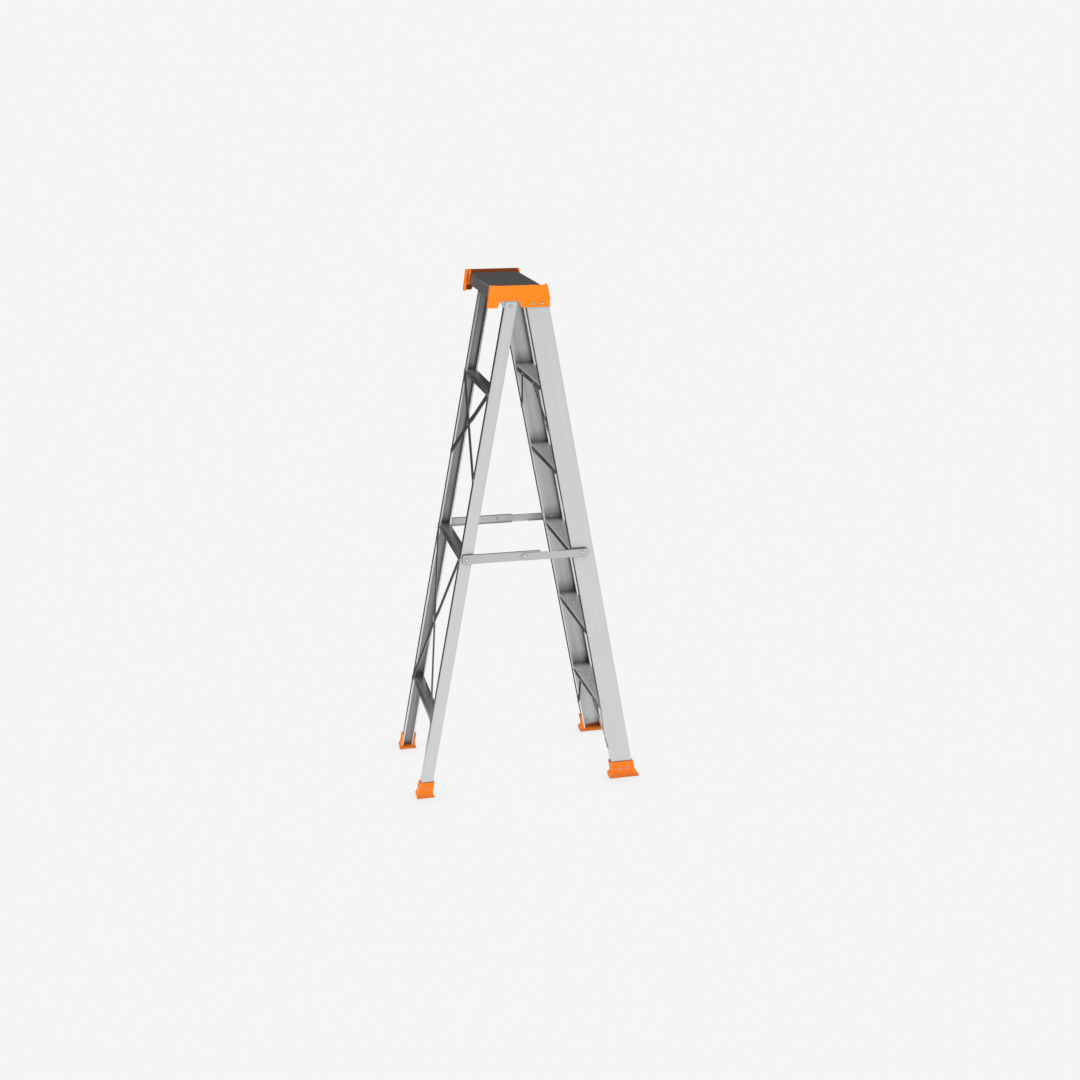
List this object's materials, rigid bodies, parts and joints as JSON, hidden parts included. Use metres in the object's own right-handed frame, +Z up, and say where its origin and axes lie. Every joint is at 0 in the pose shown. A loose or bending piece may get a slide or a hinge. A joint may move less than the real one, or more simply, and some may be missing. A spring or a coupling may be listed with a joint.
{
  "type": "step ladder",
  "caption": "Free-standing folding aluminium step ladder: channel rails and steps, a braced rear frame, folding spreaders, orange moulded end caps and boots.",
  "frame": {"origin": "on the floor at the centre of the ladder's base, in the open position", "axes": "+Z up; -Y towards the climbing side, +Y towards the rear frame; +X to the right of a person who faces the steps"},
  "size_m": [0.4904, 0.8484, 1.857],
  "materials": {
    "rail": "mill finish, semi-gloss, drawn along its length",
    "step": "mill finish with ribs",
    "platform": "satin",
    "brace": "mill finish, satin",
    "link": "mill finish, satin",
    "rivet": "bright",
    "orange_plastic": "moulded, semi-gloss"
  },
  "bodies": {
    "front_frame": {"front_rail_left": "rail", "front_rail_right": "rail", "step_1": "step", "step_2": "step", "step_3": "step", "step_4": "step", "step_5": "step", "step_rivets": "rivet", "knee_brace_top_left": "brace", "knee_brace_top_right": "brace", "knee_brace_bottom_left": "brace", "knee_brace_bottom_right": "brace", "knee_brace_rivets": "rivet", "top_platform": "platform", "end_cap_left": "orange_plastic", "end_cap_right": "orange_plastic", "end_cap_rivets": "rivet", "hinge_bracket_left": "link", "hinge_bracket_right": "link", "hinge_rivet_left": "rivet", "hinge_rivet_right": "rivet", "front_boot_left": "orange_plastic", "front_boot_right": "orange_plastic", "front_boot_rivets": "rivet", "spreader_front_rivet_left": "rivet", "spreader_front_rivet_right": "rivet", "spreader_washers": "rivet"},
    "rear_frame": {"rear_rail_left": "rail", "rear_rail_right": "rail", "rear_crossbar_top": "brace", "rear_crossbar_middle": "brace", "rear_crossbar_bottom": "brace", "rear_crossbar_rivets": "rivet", "upper_brace_under": "brace", "upper_brace_over": "brace", "lower_brace_under": "brace", "lower_brace_over": "brace", "cross_brace_rivets": "rivet", "rear_boot_left": "orange_plastic", "rear_boot_right": "orange_plastic", "rear_boot_rivets": "rivet"},
    "front_link_left": {"spreader_front_link_left": "link", "spreader_middle_rivet_left": "rivet"},
    "rear_link_left": {"spreader_rear_link_left": "link", "spreader_rear_rivet_left": "rivet"},
    "front_link_right": {"spreader_front_link_right": "link", "spreader_middle_rivet_right": "rivet"},
    "rear_link_right": {"spreader_rear_link_right": "link", "spreader_rear_rivet_right": "rivet"}
  },
  "joints": [
    {"name": "frame_fold", "type": "hinge", "parent": "front_frame", "child": "rear_frame", "pos_m": [0, 0.05994, 1.787], "axis": [-1, 0, 0], "range_deg": [0, 21]},
    {"name": "front_link_fold_left", "type": "hinge", "parent": "front_frame", "child": "front_link_left", "pos_m": [-0.24, -0.19201, 0.906], "axis": [1, 0, 0], "range_deg": [0, 77.65]},
    {"name": "rear_link_fold_left", "type": "hinge", "parent": "front_link_left", "child": "rear_link_left", "pos_m": [-0.24, 0.0164, 0.906], "axis": [-1, 0, 0], "range_deg": [0, 155.52]},
    {"name": "front_link_fold_right", "type": "hinge", "parent": "front_frame", "child": "front_link_right", "pos_m": [0.24, -0.19201, 0.906], "axis": [1, 0, 0], "range_deg": [0, 77.65]},
    {"name": "rear_link_fold_right", "type": "hinge", "parent": "front_link_right", "child": "rear_link_right", "pos_m": [0.24, 0.0164, 0.906], "axis": [-1, 0, 0], "range_deg": [0, 155.52]}
  ],
  "couplings": [
    {"joint": "front_link_fold_left", "follows": "frame_fold", "ratio": 3.6736},
    {"joint": "rear_link_fold_left", "follows": "frame_fold", "ratio": 7.3818},
    {"joint": "front_link_fold_right", "follows": "frame_fold", "ratio": 3.6736},
    {"joint": "rear_link_fold_right", "follows": "frame_fold", "ratio": 7.3818}
  ]
}
